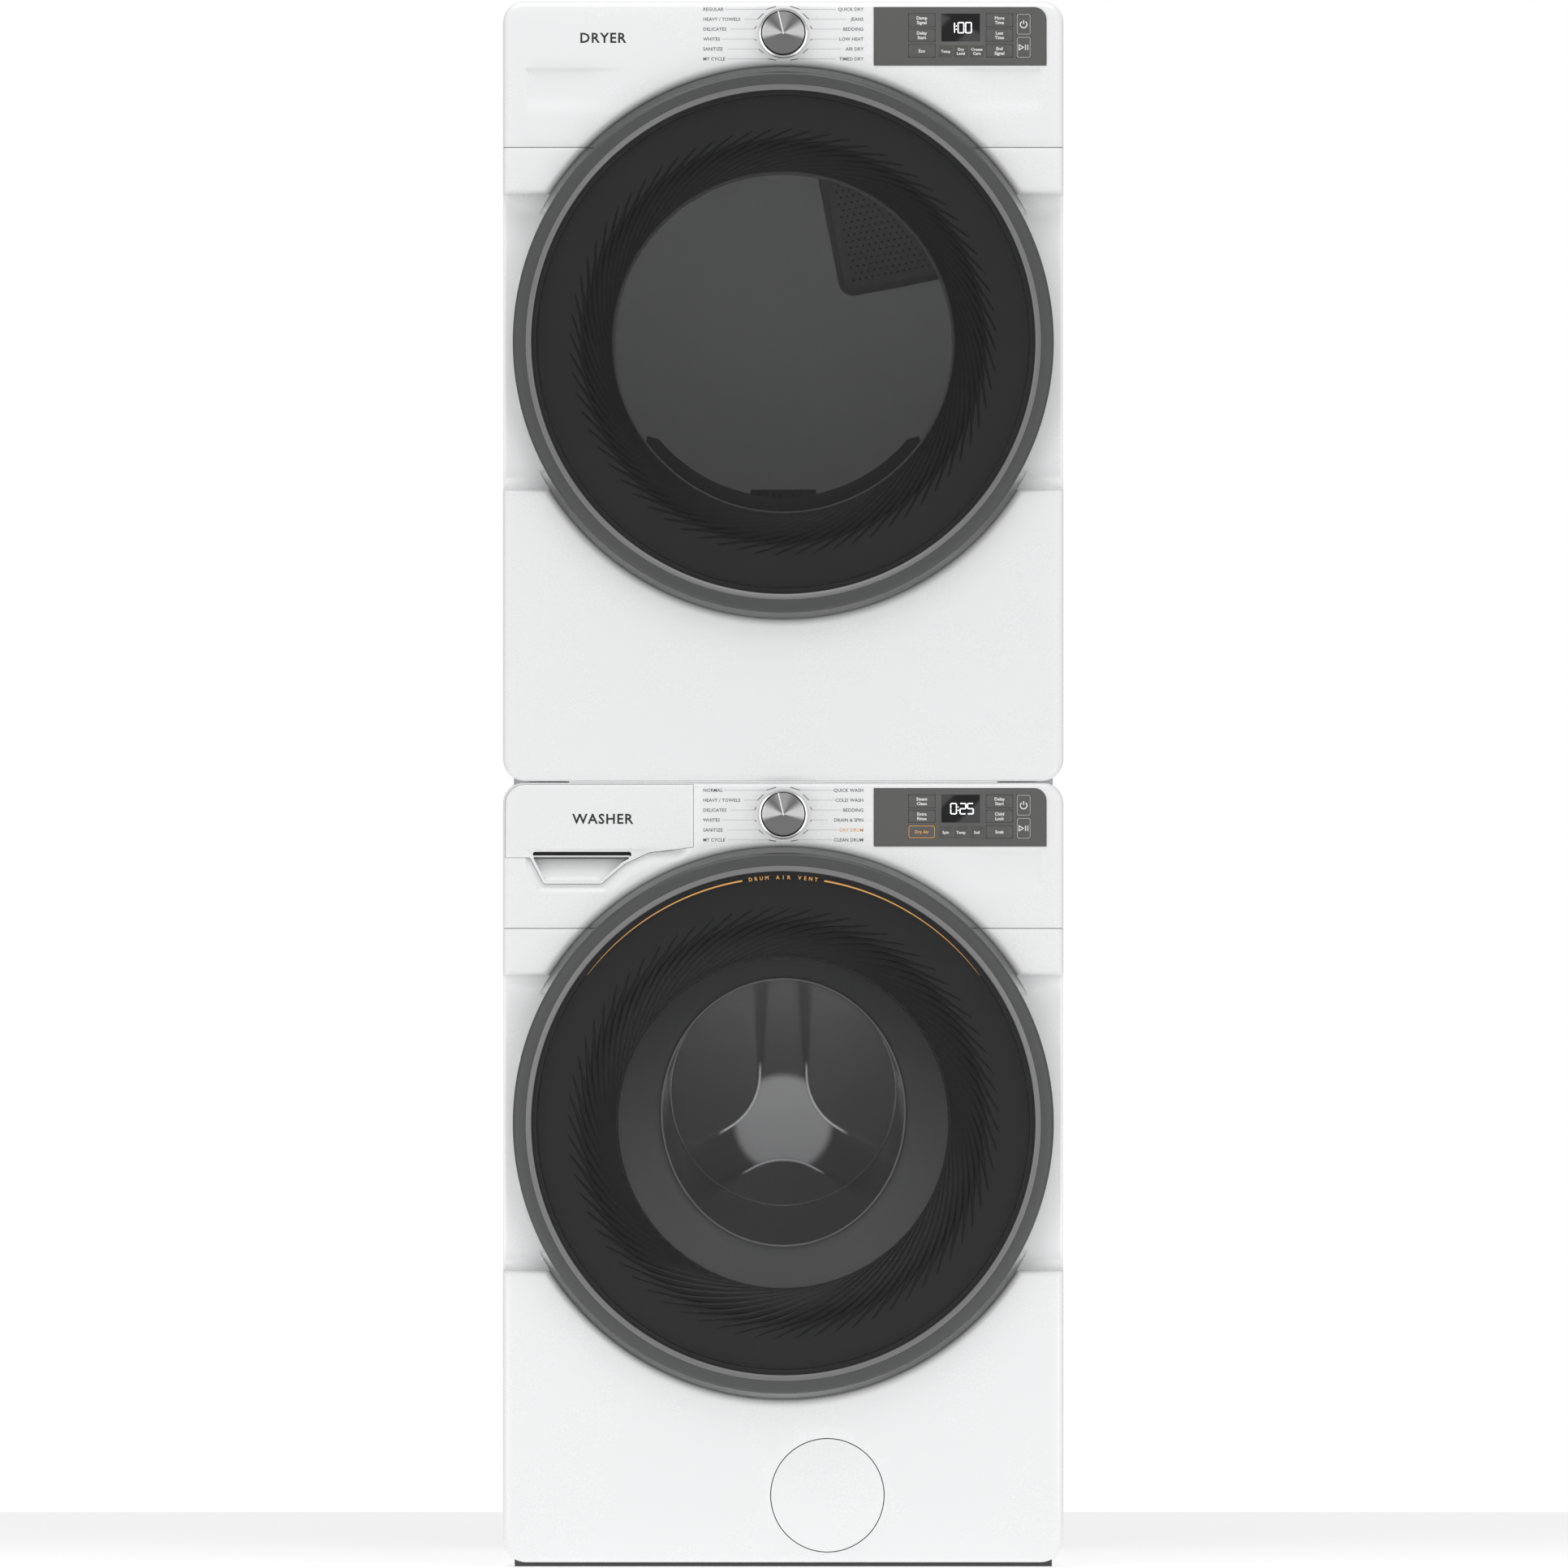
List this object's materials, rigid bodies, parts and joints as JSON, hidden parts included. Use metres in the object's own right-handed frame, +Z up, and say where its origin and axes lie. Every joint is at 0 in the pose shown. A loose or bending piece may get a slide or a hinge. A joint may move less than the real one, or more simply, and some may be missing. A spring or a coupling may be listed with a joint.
{
  "type": "stacked washer and dryer",
  "caption": "Front-loading washer with a tumble dryer stacked on it, round swing doors, dials, push keys, a detergent drawer and a turning drum in each.",
  "frame": {"origin": "on the floor, under the centre of the stack's outer box", "axes": "+X to the right as seen from the front, +Y to the back (the doors face -Y), +Z up"},
  "size_m": [0.686, 0.794, 1.917],
  "materials": {
    "white_enamel": "gloss",
    "galvanised": "satin",
    "white_plastic": "gloss",
    "panel_grey": "satin",
    "tub_plastic": "matt",
    "zinc_plate": "satin",
    "rubber_grey": "matt",
    "concrete": "rough",
    "motor_black": "satin",
    "ring_grey": "satin",
    "smoked_cover": "gloss",
    "liner_grey": "satin",
    "clear_glass": "gloss",
    "stainless": "brushed",
    "dial_metal": "brushed",
    "key_grey": "satin"
  },
  "bodies": {
    "stack": {"washer_cabinet": "white_enamel", "washer_back_panel": "galvanised", "washer_front_panel": "white_plastic", "washer_console": "white_plastic", "dryer_cabinet": "white_enamel", "dryer_back_panel": "galvanised", "dryer_front_panel": "white_plastic", "dryer_console": "white_plastic", "control_panels": "panel_grey", "drawer_housing": "tub_plastic", "door_hinges": "zinc_plate", "door_gasket": "rubber_grey", "outer_tub": "tub_plastic", "counterweights": "concrete", "tub_suspension": "zinc_plate", "drive_motors": "motor_black", "drive_belts": "rubber_grey", "drain_pump": "tub_plastic", "inlet_valves": "tub_plastic", "leveling_feet": "rubber_grey", "stacking_brackets": "zinc_plate", "front_bulkhead": "galvanised", "rear_bulkhead": "galvanised", "exhaust_duct": "galvanised"},
    "dryer_door": {"dryer_door_frame": "ring_grey", "dryer_door_cover": "smoked_cover", "dryer_door_liner": "liner_grey", "dryer_door_window": "clear_glass"},
    "washer_door": {"washer_door_frame": "ring_grey", "washer_door_cover": "smoked_cover", "washer_door_liner": "liner_grey", "washer_door_bowl": "clear_glass"},
    "drawer": {"detergent_drawer": "white_plastic"},
    "wash_drum": {"wash_drum": "stainless", "drum_lifters": "tub_plastic", "drum_pulley": "dial_metal"},
    "washer_rotor": {"motor_pulley": "zinc_plate"},
    "dryer_drum": {"dryer_drum": "stainless", "dryer_vanes": "tub_plastic"},
    "dryer_rotor": {"blower_wheel": "liner_grey"},
    "lint_screen": {"lint_screen": "liner_grey"},
    "pump_cover": {"pump_cover": "white_plastic"},
    "dryer_dial": {"dryer_dial": "dial_metal"},
    "washer_dial": {"washer_dial": "dial_metal"},
    "dryer_power_key": {"dryer_power_key": "key_grey"},
    "dryer_start_key": {"dryer_start_key": "key_grey"},
    "dryer_key_1": {"dryer_key_1": "key_grey"},
    "dryer_key_2": {"dryer_key_2": "key_grey"},
    "dryer_key_3": {"dryer_key_3": "key_grey"},
    "dryer_key_4": {"dryer_key_4": "key_grey"},
    "dryer_key_5": {"dryer_key_5": "key_grey"},
    "dryer_key_6": {"dryer_key_6": "key_grey"},
    "washer_power_key": {"washer_power_key": "key_grey"},
    "washer_start_key": {"washer_start_key": "key_grey"},
    "washer_key_1": {"washer_key_1": "key_grey"},
    "washer_key_2": {"washer_key_2": "key_grey"},
    "washer_key_3": {"washer_key_3": "key_grey"},
    "washer_key_4": {"washer_key_4": "key_grey"},
    "washer_key_5": {"washer_key_5": "key_grey"},
    "washer_key_6": {"washer_key_6": "key_grey"}
  },
  "joints": [
    {"name": "dryer_door_swing", "type": "hinge", "parent": "stack", "child": "dryer_door", "pos_m": [-0.316, -0.375, 1.5], "axis": [0, 0, -1], "range_deg": [0, 115]},
    {"name": "washer_door_swing", "type": "hinge", "parent": "stack", "child": "washer_door", "pos_m": [-0.316, -0.375, 0.544], "axis": [0, 0, -1], "range_deg": [0, 115]},
    {"name": "drawer_slide", "type": "slide", "parent": "stack", "child": "drawer", "axis": [0, -1, 0], "range_m": [0, 0.22]},
    {"name": "wash_drum_spin", "type": "hinge", "parent": "stack", "child": "wash_drum", "pos_m": [0, 0, 0.536], "axis": [0, 1, 0], "continuous": true},
    {"name": "washer_motor_spin", "type": "hinge", "parent": "stack", "child": "washer_rotor", "pos_m": [-0.07, 0.18, 0.13], "axis": [0, 1, 0], "continuous": true},
    {"name": "dryer_drum_spin", "type": "hinge", "parent": "stack", "child": "dryer_drum", "pos_m": [0, 0, 1.5], "axis": [0, 1, 0], "continuous": true},
    {"name": "blower_spin", "type": "hinge", "parent": "stack", "child": "dryer_rotor", "pos_m": [-0.09, -0.09, 1.062], "axis": [0, 1, 0], "continuous": true},
    {"name": "lint_screen_lift", "type": "slide", "parent": "stack", "child": "lint_screen", "axis": [0, 0, 1], "range_m": [0, 0.12]},
    {"name": "pump_cover_pull", "type": "slide", "parent": "stack", "child": "pump_cover", "axis": [0, -1, 0], "range_m": [0, 0.08]},
    {"name": "dryer_dial_turn", "type": "hinge", "parent": "stack", "child": "dryer_dial", "pos_m": [0, -0.375, 1.878], "axis": [0, 1, 0], "continuous": true},
    {"name": "washer_dial_turn", "type": "hinge", "parent": "stack", "child": "washer_dial", "pos_m": [0, -0.375, 0.922], "axis": [0, 1, 0], "continuous": true},
    {"name": "dryer_power_key_press", "type": "slide", "parent": "stack", "child": "dryer_power_key", "axis": [0, 1, 0], "range_m": [0, 0.0008], "stiffness_N_per_m": 300},
    {"name": "dryer_start_key_press", "type": "slide", "parent": "stack", "child": "dryer_start_key", "axis": [0, 1, 0], "range_m": [0, 0.0008], "stiffness_N_per_m": 300},
    {"name": "dryer_key_1_press", "type": "slide", "parent": "stack", "child": "dryer_key_1", "axis": [0, 1, 0], "range_m": [0, 0.0008], "stiffness_N_per_m": 300},
    {"name": "dryer_key_2_press", "type": "slide", "parent": "stack", "child": "dryer_key_2", "axis": [0, 1, 0], "range_m": [0, 0.0008], "stiffness_N_per_m": 300},
    {"name": "dryer_key_3_press", "type": "slide", "parent": "stack", "child": "dryer_key_3", "axis": [0, 1, 0], "range_m": [0, 0.0008], "stiffness_N_per_m": 300},
    {"name": "dryer_key_4_press", "type": "slide", "parent": "stack", "child": "dryer_key_4", "axis": [0, 1, 0], "range_m": [0, 0.0008], "stiffness_N_per_m": 300},
    {"name": "dryer_key_5_press", "type": "slide", "parent": "stack", "child": "dryer_key_5", "axis": [0, 1, 0], "range_m": [0, 0.0008], "stiffness_N_per_m": 300},
    {"name": "dryer_key_6_press", "type": "slide", "parent": "stack", "child": "dryer_key_6", "axis": [0, 1, 0], "range_m": [0, 0.0008], "stiffness_N_per_m": 300},
    {"name": "washer_power_key_press", "type": "slide", "parent": "stack", "child": "washer_power_key", "axis": [0, 1, 0], "range_m": [0, 0.0008], "stiffness_N_per_m": 300},
    {"name": "washer_start_key_press", "type": "slide", "parent": "stack", "child": "washer_start_key", "axis": [0, 1, 0], "range_m": [0, 0.0008], "stiffness_N_per_m": 300},
    {"name": "washer_key_1_press", "type": "slide", "parent": "stack", "child": "washer_key_1", "axis": [0, 1, 0], "range_m": [0, 0.0008], "stiffness_N_per_m": 300},
    {"name": "washer_key_2_press", "type": "slide", "parent": "stack", "child": "washer_key_2", "axis": [0, 1, 0], "range_m": [0, 0.0008], "stiffness_N_per_m": 300},
    {"name": "washer_key_3_press", "type": "slide", "parent": "stack", "child": "washer_key_3", "axis": [0, 1, 0], "range_m": [0, 0.0008], "stiffness_N_per_m": 300},
    {"name": "washer_key_4_press", "type": "slide", "parent": "stack", "child": "washer_key_4", "axis": [0, 1, 0], "range_m": [0, 0.0008], "stiffness_N_per_m": 300},
    {"name": "washer_key_5_press", "type": "slide", "parent": "stack", "child": "washer_key_5", "axis": [0, 1, 0], "range_m": [0, 0.0008], "stiffness_N_per_m": 300},
    {"name": "washer_key_6_press", "type": "slide", "parent": "stack", "child": "washer_key_6", "axis": [0, 1, 0], "range_m": [0, 0.0008], "stiffness_N_per_m": 300}
  ],
  "couplings": [
    {"joint": "washer_motor_spin", "follows": "wash_drum_spin", "ratio": 10.714},
    {"joint": "blower_spin", "follows": "dryer_drum_spin", "ratio": 26.5}
  ]
}
